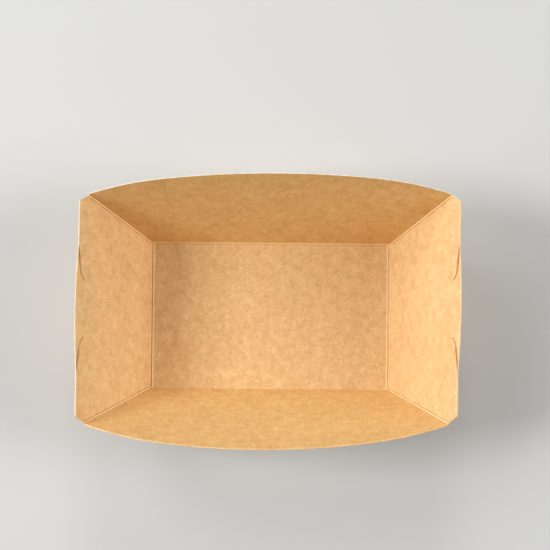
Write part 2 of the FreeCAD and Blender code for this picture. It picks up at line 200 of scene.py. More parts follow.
@dataclass(frozen=True)
class TraySizes:
    """Sizes of the tray in millimetres, measured on its inside faces.

    Lengths run along X and widths along Y. A slant is a distance up the slope of an end wall
    from its fold with the base.

    The shoulders are where a long wall's arch turns from its flat middle arc into the tighter
    arcs beside it. The end rim is an end wall's rim between its cut corners, and it rises above
    the level of the tray's corners. A web's rim drops below it, and its lock tab reaches past
    the web's fold. Each slit runs in from its mouth at the rim to its knee, and then hooks down
    to the neck of the T-shaped tab. Below the pinch height, the folds of a corner shrink
    towards its foot. Rack is the angle in radians that the tray's sides turn out of square for
    each millimetre of height.
    """

    apex_height: float
    board: float = 0.4
    base_length: float = 110.0
    base_width: float = 68.0
    corner_height: float = 50.0
    corner_length: float = 156.0
    corner_width: float = 98.8
    near_bow: float = 6.4
    far_bow: float = 3.2
    shoulder_spacing: float = 90.0
    shoulder_drop: float = 2.5
    end_rim_rise: float = 6.7
    end_rim_width: float = 92.0
    layer_gap: float = 0.15
    web_drop: float = 2.0
    lock_reach: float = 6.0
    lock_tip_width: float = 1.3
    slit_width: float = 0.04
    slit_mouth_spacing: float = 54.6
    slit_knee_spacing: float = 30.0
    slit_knee_depth: float = 2.4
    neck_width: float = 24.4
    hook_depth: float = 5.0
    tab_bulge: float = 1.0
    pinch_height: float = 2.4
    rack: float = 0.000166

    @property
    def end_run(self) -> float:
        """How far an end wall runs out for one unit of height."""
        return (self.corner_length - self.base_length) / 2 / (self.corner_height - self.board)

    @property
    def long_run(self) -> float:
        """How far a long wall runs out for one unit of height."""
        return (self.corner_width - self.base_width) / 2 / (self.corner_height - self.board)

    @property
    def end_stretch(self) -> float:
        """How much longer an end wall's slope is than its height."""
        return math.hypot(1, self.end_run)

    @property
    def corner_slant(self) -> float:
        """Slant at which the corner lines end."""
        return (self.corner_height - self.board) * self.end_stretch

    @property
    def rim_slant(self) -> float:
        """Slant of the end wall's straight rim."""
        return self.corner_slant + self.end_rim_rise

    @property
    def web_rim_slant(self) -> float:
        """Slant of the rims of the webs, a little below the end wall's own."""
        return self.rim_slant - self.web_drop

    @property
    def hinge_slant(self) -> float:
        """Slant at which the T-shaped tab bends out of the end wall."""
        return self.rim_slant - self.hook_depth

    @property
    def knee_slant(self) -> float:
        """Slant at which a slit turns from its straight part into its hook."""
        return self.rim_slant - self.slit_knee_depth

    @property
    def corner_run(self) -> float:
        """How far a corner line runs sideways for one unit of slant."""
        return (self.corner_width - self.base_width) / 2 / self.corner_slant

    @property
    def web_fold_run(self) -> float:
        """How far a web's own fold, which halves the web, runs inwards for one unit of slant.

        Returns:
            The run, which makes the web's two halves equally wide on the flat sheet.
        """
        end_lean = math.atan(self.corner_run)
        long_slant = (self.corner_height - self.board) * math.hypot(1, self.long_run)
        long_lean = math.atan((self.corner_length - self.base_length) / 2 / long_slant)
        return math.tan((math.pi / 2 - end_lean - long_lean) / 2 - end_lean)

    def arch_height(self, along: float) -> float:
        """Return the height of a long wall's rim at a distance from the middle.

        Args:
            along: distance along X from the middle of the tray.

        Returns:
            The height on the flat middle arc or on the tighter arc at either side of it.
        """
        half = self.shoulder_spacing / 2
        radius = (half**2 + self.shoulder_drop**2) / 2 / self.shoulder_drop
        across = abs(along)
        if across <= half:
            return self.apex_height - radius + math.sqrt(radius**2 - across**2)
        shoulder = self.apex_height - self.shoulder_drop
        turn = math.asin(half / radius)
        length = self.corner_length / 2 - half
        fall = shoulder - self.corner_height
        side_radius = math.hypot(length, fall) / 2 / math.sin(math.atan(fall / length) - turn)
        centre_along = half - side_radius * math.sin(turn)
        centre_height = shoulder - side_radius * math.cos(turn)
        return centre_height + math.sqrt(max(side_radius**2 - (across - centre_along) ** 2, 0.0))

    def slit_across(self, slant: float) -> float:
        """Return how far from the middle of the end wall a slit lies at a slant.

        Args:
            slant: a slant between the hinge of the tab and the rim.

        Returns:
            The distance on the slit's straight part above its knee or on its hook below it.
        """
        knee, mouth = self.slit_knee_spacing / 2, self.slit_mouth_spacing / 2
        if slant >= self.knee_slant:
            return mix(knee, mouth, (slant - self.knee_slant) / self.slit_knee_depth)
        length = knee - self.neck_width / 2
        drop = self.hook_depth - self.slit_knee_depth
        straight_turn = math.atan(self.slit_knee_depth / (mouth - knee))
        half_turn = math.atan(drop / length) - straight_turn
        radius = math.hypot(length, drop) / 2 / math.sin(half_turn)
        centre_across = knee + radius * math.sin(straight_turn)
        centre_slant = self.knee_slant - radius * math.cos(straight_turn)
        return centre_across - math.sqrt(radius**2 - (slant - centre_slant) ** 2)

    def pinch(self, slant: float) -> float:
        """Return the share of their full size that folds have near the foot of a corner."""
        return min(1.0, slant / self.pinch_height)


def select_only(pieces: list[bpy.types.Object]) -> None:
    """Make some objects the only ones selected, and the first of them the active one.

    Args:
        pieces: the objects.
    """
    bpy.ops.object.select_all(action="DESELECT")
    for piece in pieces:
        piece.select_set(True)
    bpy.context.view_layer.objects.active = pieces[0]


def edit_whole(piece: bpy.types.Object, operator: Callable[..., object], **settings: object) -> None:
    """Run one edit-mode operator on the whole of a mesh.

    Args:
        piece: the mesh object.
        operator: the operator from bpy.ops.mesh.
        settings: the operator's own settings.
    """
    select_only([piece])
    bpy.ops.object.mode_set(mode="EDIT")
    bpy.ops.mesh.select_all(action="SELECT")
    operator(**settings)
    bpy.ops.object.mode_set(mode="OBJECT")


def join_pieces(pieces: list[bpy.types.Object], name: str) -> bpy.types.Object:
    """Join several mesh objects into the first and name the result.

    Args:
        pieces: the objects to join.
        name: name of the joined object and of its mesh.

    Returns:
        The joined object.
    """
    select_only(pieces)
    bpy.ops.object.join()
    pieces[0].name = name
    pieces[0].data.name = name
    return pieces[0]


def apply_modifier(piece: bpy.types.Object, kind: str, **settings: object) -> None:
    """Add a modifier and apply it.

    Args:
        piece: the mesh object.
        kind: the modifier's type.
        settings: the modifier's own settings.
    """
    select_only([piece])
    modifier = piece.modifiers.new(kind.lower(), kind)
    for setting, value in settings.items():
        setattr(modifier, setting, value)
    bpy.ops.object.modifier_apply(modifier=modifier.name)


def lay_panel(columns: int, rows: int, place: Callable[[int, int], Spot]) -> bpy.types.Object:
    """Add a flat grid of board and carry each of its crossings to its place on the tray.

    Args:
        columns: number of crossings along the grid's first way.
        rows: number of crossings along its second way.
        place: gives the place of a crossing by its column and row.

    Returns:
        The new mesh object, in metres, with its flat map, its layer of painted highlight and shade,
        and its layer of score height.
    """
    bpy.ops.object.select_all(action="DESELECT")
    bpy.ops.mesh.primitive_grid_add(x_subdivisions=columns - 1, y_subdivisions=rows - 1, size=1)
    panel = bpy.context.object
    mesh = panel.data
    flat = mesh.uv_layers.active
    flat.name = FLAT_MAP
    spots = []
    for vertex in mesh.vertices:
        column = round((vertex.co.x + 0.5) * (columns - 1))
        row = round((vertex.co.y + 0.5) * (rows - 1))
        spot = place(column, row)
        vertex.co = spot.point * MM
        spots.append(spot)
    for loop in mesh.loops:
        flat.data[loop.index].uv = spots[loop.vertex_index].flat
    # The painted highlight and painted shade of each crossing, laid into the board's colour.
    painted_shading = mesh.attributes.new(PAINTED_SHADING_LAYER, "FLOAT", "POINT")
    painted_shading.data.foreach_set("value", [spot.painted_shading for spot in spots])
    raised = mesh.attributes.new(RAISED_LAYER, "FLOAT", "POINT")
    raised.data.foreach_set("value", [spot.raised for spot in spots])
    return panel


@dataclass(frozen=True)
class Stations:
    """Where the lines of the sheet's grid run, so that neighbouring panels share their edges.

    Rows run across a wall and columns run up it. A share is a column's place between the middle
    of a wall, at nought, and its last column, at one.
    """

    sizes: TraySizes
    long_columns: int = 84
    neck_columns: int = 14
    side_columns: int = 12
    wall_rows: int = 24
    hook_rows: int = 5
    mouth_rows: int = 3
    hook_crowding: float = 1.6
    edge_band: float = 0.45
    slit_band: float = 0.4
    nose_width: float = 0.38

    def slants(self) -> list[float]:
        """Return the slants of the rows that every wall and web shares, up to the corners.

        Returns:
            The slants, closer together where they follow the score at the foot.
        """
        scored = [distance for distance in END_SCORE.distances if distance >= 0]
        even = spaced(scored[-1], self.sizes.corner_slant - self.edge_band, self.wall_rows)
        return scored + even + [self.sizes.corner_slant]

    def rim_slants(self) -> list[float]:
        """Return the slants of the rows of an end wall from the corners' level up to its rim.

        Returns:
            The slants, with rows at the tab's hinge and at the knees of its slits.
        """
        hinge, knee, rim = self.sizes.hinge_slant, self.sizes.knee_slant, self.sizes.rim_slant
        hooked = spaced(hinge, knee, self.hook_rows, self.hook_crowding)
        straight = spaced(knee, rim - self.edge_band, self.mouth_rows)
        return [self.sizes.corner_slant, hinge] + hooked + straight + [rim]

    def scored_shares(self, half: float) -> list[float]:
        """Return the shares of the columns that follow a score at the end of half a width."""
        return [1 + distance / half for distance in END_SCORE.distances if distance <= 0]

    def long_shares(self) -> list[float]:
        """Return the shares of a long wall's columns, from one end at -1 to the other at 1.

        Returns:
            The shares, closer together where they follow the scores at both ends.
        """
        scored = self.scored_shares(self.sizes.base_length / 2)
        even = spaced(-scored[0], scored[0], self.long_columns)[:-1]
        return [-share for share in scored[::-1]] + even + scored

    def half_width(self, slant: float) -> float:
        """Return half the width of an end wall between the noses of its corner folds."""
        half = self.sizes.base_width / 2 + self.sizes.corner_run * slant
        return half - self.nose_width * self.sizes.pinch(slant)

    def neck_share(self) -> float:
        """Return the share of the columns that run into the ends of the slits."""
        plain = self.half_width(self.sizes.corner_slant) - CORNER_SCORE.distances[-1]
        return self.sizes.neck_width / 2 / plain

    def tab_reaches(self) -> list[float]:
        """Return the places of the tab's columns between its two slits, from -1 to 1."""
        last = 1 - 2 * self.slit_band / self.sizes.neck_width
        return [-1.0, -last] + spaced(-last, last, self.neck_columns) + [1.0]

    def neck_shares(self) -> list[float]:
        """Return the shares of the columns that run into the neck of the tab."""
        return [reach * self.neck_share() for reach in self.tab_reaches()]

    def side_shares(self) -> list[float]:
        """Return the shares of the plain columns to one side of the neck.

        Returns:
            The shares, from the slit's own column to the end wall's last plain one.
        """
        neck = self.neck_share()
        lip = neck * (1 + 2 * self.slit_band / self.sizes.neck_width)
        scored = self.scored_shares(self.sizes.base_width / 2)
        return [neck, lip] + spaced(lip, scored[0], self.side_columns)[:-1] + scored

    def plain_shares(self) -> list[float]:
        """Return the shares of all the plain columns of an end wall, from side to side."""
        side = self.side_shares()
        return [-share for share in side[:0:-1]] + self.neck_shares() + side[1:]


@dataclass(frozen=True)
class BoardBase:
    """The flat base between its four scored folds."""

    sizes: TraySizes
    stations: Stations

    def place(self, column: int, row: int) -> Spot:
        """Return the place of a crossing of the base's grid.

        Args:
            column: the grid's column, along X.
            row: the grid's row, along Y.

        Returns:
            The place, raised where it is close to a scored fold and never below the base.
        """
        along = self.stations.long_shares()[column] * self.sizes.base_length / 2
        across = self.stations.plain_shares()[row] * self.sizes.base_width / 2
        from_end = abs(along) - self.sizes.base_length / 2
        from_side = abs(across) - self.sizes.base_width / 2
        if from_side > from_end:
            score = FOLD_SCORES[Side.FAR if across > 0 else Side.NEAR]
        else:
            score = FOLD_SCORES[End.RIGHT if along > 0 else End.LEFT]
        distance = max(from_end, from_side)
        point = Vector((along, across, self.sizes.board))
        # The fold's score raises the bead and gives the painted highlight and painted shade beside it.
        return Spot(point, (along, across), max(0.0, score.height(distance)), score.tone(distance))

    def build(self) -> list[bpy.types.Object]:
        """Return the base as one panel."""
        columns, rows = len(self.stations.long_shares()), len(self.stations.plain_shares())
        return [lay_panel(columns, rows, self.place)]


@dataclass(frozen=True)
class LongWall:
    """One long wall, arched along its rim and bowed outwards."""

    sizes: TraySizes
    stations: Stations
    side: Side
    rim_rounds: int = 12

    @property
    def bow(self) -> float:
        """How far the middle of the rim stands out."""
        return self.sizes.near_bow if self.side is Side.NEAR else self.sizes.far_bow

    def rim_along(self, share: float) -> float:
        """Return how far along X a column of the wall meets the arched rim.

        Args:
            share: the column's share.

        Returns:
            The distance from the middle, closed in on round by round.
        """
        along = share * self.sizes.corner_length / 2
        for _ in range(self.rim_rounds):
            rise = self.sizes.arch_height(along) - self.sizes.board
            along = share * (self.sizes.base_length / 2 + self.sizes.end_run * rise)
        return along

    def place(self, column: int, row: int) -> Spot:
        """Return the place of a crossing of the wall's grid.

        Args:
            column: the grid's column, from the left end of the wall to its right end.
            row: the grid's row, from the base up to the rim.

        Returns:
            The place on the bowed wall.
        """
        share = self.stations.long_shares()[column]
        slant = self.stations.slants()[row]
        up = slant / self.sizes.corner_slant
        rim = self.rim_along(share)
        along = mix(share * self.sizes.base_length / 2, rim, up)
        rise = (self.sizes.arch_height(rim) - self.sizes.board) * up
        stand_out = self.bow * rise / (self.sizes.apex_height - self.sizes.board) * (1 - share**2)
        across = self.sizes.base_width / 2 + self.sizes.long_run * rise
        point = Vector((along, self.side.value * (across + stand_out), self.sizes.board + rise))
        flat = (along, self.side.value * (self.sizes.base_width / 2 + rise))
        score = FOLD_SCORES[self.side]
        # Painted highlight and shade of the fold's score, and a painted highlight along the rim.
        painted_shading = score.tone(slant) + RIM_SCORE.tone(self.sizes.corner_slant - slant)
        return Spot(point, flat, score.height(slant), painted_shading)

    def build(self) -> list[bpy.types.Object]:
        """Return the wall as one panel."""
        columns, rows = len(self.stations.long_shares()), len(self.stations.slants())
        return [lay_panel(columns, rows, self.place)]


@dataclass(frozen=True)
class EndWall:
    """One end wall with its T-shaped tab between two hooked slits."""

    sizes: TraySizes
    stations: Stations
    end: End
    slit_shade: float = -1.0
    tab_curl: float = 1.3

    def point(self, across: float, slant: float, out: float) -> Vector:
        """Return a point of the wall by its place up the slope and its level distance outwards.

        Args:
            across: distance along Y from the middle of the wall.
            slant: distance up the slope.
            out: level distance outwards from the wall's inside face.

        Returns:
            The point in millimetres.
        """
        rise = slant / self.sizes.end_stretch
        along = self.sizes.base_length / 2 + self.sizes.end_run * rise + out
        return Vector((self.end.value * along, across, self.sizes.board + rise))

    def flat(self, across: float, slant: float) -> tuple[float, float]:
        """Return where a point of the wall lies on the flat sheet."""
        return self.end.value * (self.sizes.base_length / 2 + slant), across

    def lower_place(self, column: int, row: int) -> Spot:
        """Return the place of a crossing of the wall's grid up to the level of the corners.

        Args:
            column: the grid's column, from the near corner to the far one.
            row: the grid's row, from the base up to the corners.

        Returns:
            The place, on a plain column or on one that follows a corner's score.
        """
        slant = self.stations.slants()[row]
        shares = self.stations.plain_shares()
        inset = CORNER_SCORE.distances[:-1]
        half = self.stations.half_width(slant)
        pinch = self.sizes.pinch(slant)
        fold = FOLD_SCORES[self.end]
        # The scores give painted highlights and painted shade along the fold and the corners.
        height, tone = fold.height(slant), fold.tone(slant)
        last_column = 2 * len(inset) + len(shares) - 1
        from_corner = min(column, last_column - column)
        if from_corner >= len(inset):
            across = shares[column - len(inset)] * (half - CORNER_SCORE.distances[-1] * pinch)
        else:
            distance = inset[from_corner]
            way = -1 if column == from_corner else 1
            across = (half - distance * pinch) * way
            height += CORNER_SCORE.height(distance) * pinch
            tone += CORNER_SCORE.tone(distance) * pinch
        return Spot(self.point(across, slant, 0.0), self.flat(across, slant), height, tone)

    def outer_half_width(self, slant: float) -> float:
        """Return half the wall's width where it narrows from the corners to its rim.

        Args:
            slant: a slant between the corners' level and the rim.

        Returns:
            The distance across from the middle of the wall to its cut corner.
        """
        share = (slant - self.sizes.corner_slant) / self.sizes.end_rim_rise
        corner = self.stations.half_width(self.sizes.corner_slant)
        return mix(corner, self.sizes.end_rim_width / 2, share)

    def slit_side(self, slant: float) -> float:
        """Return how far across the tab's side lies, straight up from the corners' level."""
        return self.sizes.slit_across(max(slant, self.sizes.hinge_slant))

    def slit_tone(self, steps: int, slant: float) -> float:
        """Return the shade beside a slit, which is wider on the straight part of the slit.

        Args:
            steps: number of columns between the place and the slit.
            slant: how far up the slope the place lies.

        Returns:
            The shade, or nought away from the slit.
        """
        reached = 0 if slant <= self.sizes.knee_slant else 1
        open_here = slant > self.sizes.hinge_slant
        return self.slit_shade if open_here and steps <= reached else 0.0

    def corner_place(self, side: Side, column: int, row: int) -> Spot:
        """Return the place of a crossing of the wall's grid between a slit and a cut corner.

        Args:
            side: the side of the tray that the panel is on.
            column: the grid's column, from the slit to the corner.
            row: the grid's row, from the corners' level up to the rim.

        Returns:
            The place, on a plain column or on one where the corner's score fades out.
        """
        slant = self.stations.rim_slants()[row]
        shares = self.stations.side_shares()
        neck = self.stations.neck_share()
        above_hinge = slant - self.sizes.hinge_slant
        opened = min(1.0, max(0.0, above_hinge / self.sizes.slit_width))
        inner = self.slit_side(slant) + self.sizes.slit_width * opened
        half = self.outer_half_width(slant)
        # Painted highlight along the rim, and painted shade beside the slit.
        height, tone = 0.0, RIM_SCORE.tone(self.sizes.rim_slant - slant)
        if column < len(shares):
            outer = half - CORNER_SCORE.distances[-1]
            across = mix(inner, outer, (shares[column] - neck) / (1 - neck))
            tone += self.slit_tone(column, slant)
        else:
            scored = CORNER_SCORE.distances[-2::-1]
            distance = scored[column - len(shares)]
            fade = (self.sizes.rim_slant - slant) / self.sizes.end_rim_rise
            across = half - distance
            height = CORNER_SCORE.height(distance) * fade
            tone += CORNER_SCORE.tone(distance) * fade
        across *= side.value
        return Spot(self.point(across, slant, 0.0), self.flat(across, slant), height, tone)

    def tab_place(self, column: int, row: int) -> Spot:
        """Return the place of a crossing of the T-shaped tab, which bulges out at the rim.

        Args:
            column: the grid's column, from one slit to the other.
            row: the grid's row, from the corners' level up to the rim.

        Returns:
            The place on the tab.
        """
        slant = self.stations.rim_slants()[row]
        reaches = self.stations.tab_reaches()
        across = reaches[column] * self.slit_side(slant)
        above_hinge = max(0.0, slant - self.sizes.hinge_slant) / self.sizes.hook_depth
        mouth = self.sizes.slit_mouth_spacing / 2
        out = self.sizes.tab_bulge * above_hinge**self.tab_curl * (1 - (across / mouth) ** 2)
        steps = min(column, len(reaches) - 1 - column)
        # Painted highlight along the rim, and painted shade beside both slits.
        tone = RIM_SCORE.tone(self.sizes.rim_slant - slant) + self.slit_tone(steps, slant)
        return Spot(self.point(across, slant, out), self.flat(across, slant), 0.0, tone)

    def build(self) -> list[bpy.types.Object]:
        """Build the wall in four panels, with its slits as the gaps between three of them.

        Returns:
            The wall below the corners' level, its two upper corners and its tab.
        """
        inset = len(CORNER_SCORE.distances) - 1
        rows, rim_rows = len(self.stations.slants()), len(self.stations.rim_slants())
        columns = len(self.stations.plain_shares()) + 2 * inset
        panels = [lay_panel(columns, rows, self.lower_place)]
        columns = len(self.stations.side_shares()) + inset
        for side in Side:
            panels.append(lay_panel(columns, rim_rows, partial(self.corner_place, side)))
        panels.append(lay_panel(len(self.stations.tab_reaches()), rim_rows, self.tab_place))
        return panels


@dataclass(frozen=True)
class CornerWeb:
    """One corner web, folded in two and laid flat against the outside of the end wall.

    The sheet runs from the end wall round a nose into the web's inner half, round the web's own
    fold into its outer half, and round the corner into the long wall.
    """

    sizes: TraySizes
    stations: Stations
    end: End
    side: Side
    fold_steps: int = 8
    half_columns: int = 6
    turn_steps: int = 4
    lock_rows: int = 4
    turn_radius: float = 0.3
    lock_flare: float = 0.09
    notch_form: float = 0.3
    cut_reach: float = 1.8
    cut_form: float = 9.0
    # Painted highlight on the rounded nose where the sheet folds back.
    nose_highlight: float = 0.95

    @property
    def inner_out(self) -> float:
        """Level distance from the end wall's inside face to the inner half's own inside face."""
        return (2 * self.sizes.board + self.sizes.layer_gap) * self.sizes.end_stretch

    @property
    def outer_out(self) -> float:
        """Level distance from the end wall's inside face to the outer half's inside face."""
        return self.inner_out + self.sizes.layer_gap * self.sizes.end_stretch

    @property
    def fold_inset(self) -> float:
        """Distance from the web's folded edge to where its fold begins to turn."""
        return self.sizes.board + self.sizes.layer_gap / 2

    def corner_across(self, slant: float) -> float:
        """Return how far across the corner line lies at a slant."""
        return self.sizes.base_width / 2 + self.sizes.corner_run * slant

    def fold_across(self, slant: float) -> float:
        """Return how far across the web's folded edge lies at a slant."""
        return self.sizes.base_width / 2 - self.sizes.web_fold_run * slant

    def section(self, slant: float) -> list[tuple[float, float]]:
        """Return the folded section of the web as pairs of level distances out and across.

        Args:
            slant: how far up the slope of the end wall the section lies.

        Returns:
            Points from the end wall's side, round both folds of the web, to the long wall.
        """
        pinch = self.sizes.pinch(slant)
        corner = self.corner_across(slant)
        nose, radius = self.stations.nose_width * pinch, self.turn_radius * pinch
        inner, outer = self.inner_out * pinch, self.outer_out * pinch
        fold = self.fold_across(slant) + self.fold_inset * pinch
        turned = [math.pi * step / self.fold_steps for step in range(self.fold_steps + 1)]
        points = []
        for angle in turned:
            out = inner / 2 * (1 - math.cos(angle))
            points.append((out, corner - nose + nose * math.sin(angle)))
        for across in spaced(corner - nose, fold, self.half_columns)[:-1]:
            points.append((inner, across))
        for angle in turned:
            out = inner + (outer - inner) / 2 * (1 - math.cos(angle))
            points.append((out, fold - self.sizes.layer_gap / 2 * pinch * math.sin(angle)))
        for across in spaced(fold, corner - radius, self.half_columns)[:-1]:
            points.append((outer, across))
        for step in range(self.turn_steps + 1):
            angle = math.pi / 2 * step / self.turn_steps
            out = outer - radius * (1 - math.cos(angle))
            points.append((out, corner - radius * (1 - math.sin(angle))))
        return points + [(0.0, corner)]

    def point(self, across: float, slant: float, out: float) -> Vector:
        """Return a point beside the end wall by its place up the slope and distance outwards."""
        wall = EndWall(self.sizes, self.stations, self.end)
        return wall.point(self.side.value * across, slant, out)

    def cut_back(self, across: float, slant: float, out: float) -> tuple[float, float]:
        """Return a place across and up the slope once the web's top is cut down by the corner.

        Args:
            across: distance across from the tray's middle.
            slant: how far up the slope of the end wall the place lies.
            out: level distance outwards from the end wall's inside face.

        Returns:
            The new distance across and the new slant.
        """
        level = min(slant, self.sizes.corner_slant)
        near = min(1.0, max(0.0, 1 - (self.corner_across(level) - across) / self.cut_reach))
        high = (level / self.sizes.corner_slant) ** self.cut_form
        drop = self.sizes.web_drop * near * min(1.0, out / self.inner_out) * high
        return across - self.sizes.corner_run * drop, slant - drop

    def section_place(self, column: int, row: int) -> Spot:
        """Return the place of a crossing of the folded part of the web, up to the corner.

        Args:
            column: the grid's column, from the end wall to the long wall.
            row: the grid's row, from the base up to the corner.

        Returns:
            The place on the folded web.
        """
        slant = self.stations.slants()[row]
        points = self.section(slant)
        out, across = points[column]
        lengths = [math.dist(*pair) for pair in zip(points[:column], points[1:column + 1])]
        flat = (self.side.value * (across + sum(lengths)), slant)
        score = FOLD_SCORES[self.end if column == 0 else self.side]
        height, tone = 0.0, 0.0
        # The nose gets a painted highlight, and the folds at the foot their painted highlight and
        # shade.
        if column == 0:
            height = CORNER_SCORE.heights[0] * self.sizes.pinch(slant)
            tone = CORNER_SCORE.painted_tones[0] * self.sizes.pinch(slant)
        elif column < self.fold_steps:
            tone = self.nose_highlight * self.sizes.pinch(slant)
        if column in (0, len(points) - 1):
            height += score.height(slant)
            tone += score.tone(slant)
        across, slant = self.cut_back(across, slant, out)
        return Spot(self.point(across, slant, out), flat, height, tone)

    def upper_place(self, outer_half: bool, column: int, row: int) -> Spot:
        """Return the place of a crossing of one half of the web above the corner.

        Args:
            outer_half: whether the panel is the notched outer half or the half with the lock tab.
            column: the grid's column, from the web's fold to the corner.
            row: the grid's row, from the corner's level up to the web's rim.

        Returns:
            The place on the web.
        """
        corner_slant, rim = self.sizes.corner_slant, self.sizes.web_rim_slant
        levels = spaced(corner_slant, rim - self.sizes.lock_tip_width, self.lock_rows)
        slant = ([corner_slant] + levels + [rim])[row]
        fold = self.fold_across(corner_slant) + self.fold_inset
        reach = self.sizes.lock_reach if outer_half else -self.sizes.lock_reach
        inner = fold + reach * min(1.0, row / self.lock_rows)
        edge = self.turn_radius if outer_half else self.stations.nose_width
        rim_share = (slant - corner_slant) / (rim - corner_slant)
        corner = self.corner_across(corner_slant) - edge
        outer = mix(corner, self.sizes.end_rim_width / 2, rim_share**self.notch_form)
        across = mix(inner, outer, column / self.half_columns)
        out = self.outer_out if outer_half else self.inner_out
        if not outer_half:
            out += self.lock_flare * max(0.0, fold - across)
        tone = RIM_SCORE.tone(rim - slant)
        flat = (self.side.value * across, slant)
        across, slant = self.cut_back(across, slant, out)
        return Spot(self.point(across, slant, out), flat, 0.0, tone)

    def build(self) -> list[bpy.types.Object]:
        """Build the web in three panels.

        Returns:
            The folded part up to the corner, and the two halves above it.
        """
        columns = len(self.section(self.sizes.corner_slant))
        panels = [lay_panel(columns, len(self.stations.slants()), self.section_place)]
        columns, rows = self.half_columns + 1, self.lock_rows + 2
        for outer_half in (False, True):
            panels.append(lay_panel(columns, rows, partial(self.upper_place, outer_half)))
        return panels


@dataclass(frozen=True)
class FoldedTray:
    """The whole tray: one sheet of board, scored, cut and folded."""

    sizes: TraySizes
    stations: Stations
    weld_distance: float = 0.002
    edge_ease: float = 0.05
    ease_segments: int = 2
    ease_angle: float = 50.0
    smooth_angle: float = 45.0
    cockle_height: float = 0.12
    cockle_span: float = 31.0

    def join_panels(self) -> bpy.types.Object:
        """Lay out all the panels and weld them into one sheet along their shared edges.

        Returns:
            The sheet's inside face, with its normals turned into the tray.
        """
        panels = BoardBase(self.sizes, self.stations).build()
        for side in Side:
            panels += LongWall(self.sizes, self.stations, side).build()
        for end in End:
            panels += EndWall(self.sizes, self.stations, end).build()
            for side in Side:
                panels += CornerWeb(self.sizes, self.stations, end, side).build()
        sheet = join_pieces(panels, "kraft_tray")
        edit_whole(sheet, bpy.ops.mesh.remove_doubles, threshold=self.weld_distance * MM)
        edit_whole(sheet, bpy.ops.mesh.normals_make_consistent, inside=False)
        middle = min(sheet.data.polygons, key=lambda face: face.center.length)
        if middle.normal.z < 0:
            edit_whole(sheet, bpy.ops.mesh.flip_normals)
        return sheet

    def press_scores(self, sheet: bpy.types.Object) -> None:
        """Raise the beads of the scored folds and press their grooves, square to the sheet.

        Args:
            sheet: the sheet's inside face.
        """
        heights = sheet.data.attributes[RAISED_LAYER].data
        normals = [vertex.normal.copy() for vertex in sheet.data.vertices]
        for vertex, normal, height in zip(sheet.data.vertices, normals, heights):
            vertex.co += normal * height.value * MM

    def settle(self, sheet: bpy.types.Object) -> None:
        """Rack the sheet a little out of square and let its walls cockle, as real board does.

        Args:
            sheet: the sheet's inside face.
        """
        for vertex in sheet.data.vertices:
            spot = vertex.co / MM
            up = min(1.0, max(0.0, (spot.z - self.sizes.board) / self.sizes.corner_height))
            freedom = 1 - (2 * up - 1) ** 2
            wave = noise.noise(spot / self.cockle_span) * self.cockle_height * freedom
            outward = Vector((spot.x / self.sizes.base_length, spot.y / self.sizes.base_width, 0))
            lean = self.sizes.rack * spot.z
            moved = spot + Vector((lean * spot.y, lean * spot.x, 0))
            if outward.length > 0:
                moved += outward.normalized() * wave
            vertex.co = moved * MM

    def build(self) -> bpy.types.Object:
        """Build the tray and give the sheet its thickness and softened edges.

        Returns:
            The finished tray.
        """
        sheet = self.join_panels()
        self.press_scores(sheet)
        self.settle(sheet)
        sheet.data.materials.append(KraftFace().build())
        sheet.data.materials.append(CutEdge().build())
        apply_modifier(
            sheet,
            "SOLIDIFY",
            thickness=self.sizes.board * MM,
            offset=-1,
            use_even_offset=False,
            use_quality_normals=True,
            material_offset_rim=1,
        )
        apply_modifier(
            sheet,
            "BEVEL",
            width=self.edge_ease * MM,
            segments=self.ease_segments,
            limit_method="ANGLE",
            angle_limit=math.radians(self.ease_angle),
        )
        bpy.ops.object.shade_smooth_by_angle(angle=math.radians(self.smooth_angle))
        apply_modifier(sheet, "WEIGHTED_NORMAL", keep_sharp=True)
        return sheet


def colour(tone: Tone) -> tuple[float, float, float, float]:
    """Return a shader's colour for a tone written as it looks on screen, each part to 1."""
    return (*Color(tone).from_srgb_to_scene_linear(), 1.0)


@dataclass(frozen=True)
class Cloud:
    """A noise pattern, by the number of its clouds to a unit of length and how they break up."""

    scale: float
    detail: float
    roughness: float


@dataclass(frozen=True)
class Layer:
    """A tone laid over another one, as strongly as a pattern says.

    It is absent where the pattern is at start, and has its full strength where it is at end.
    """

    tone: Tone
    start: float
    end: float
    strength: float


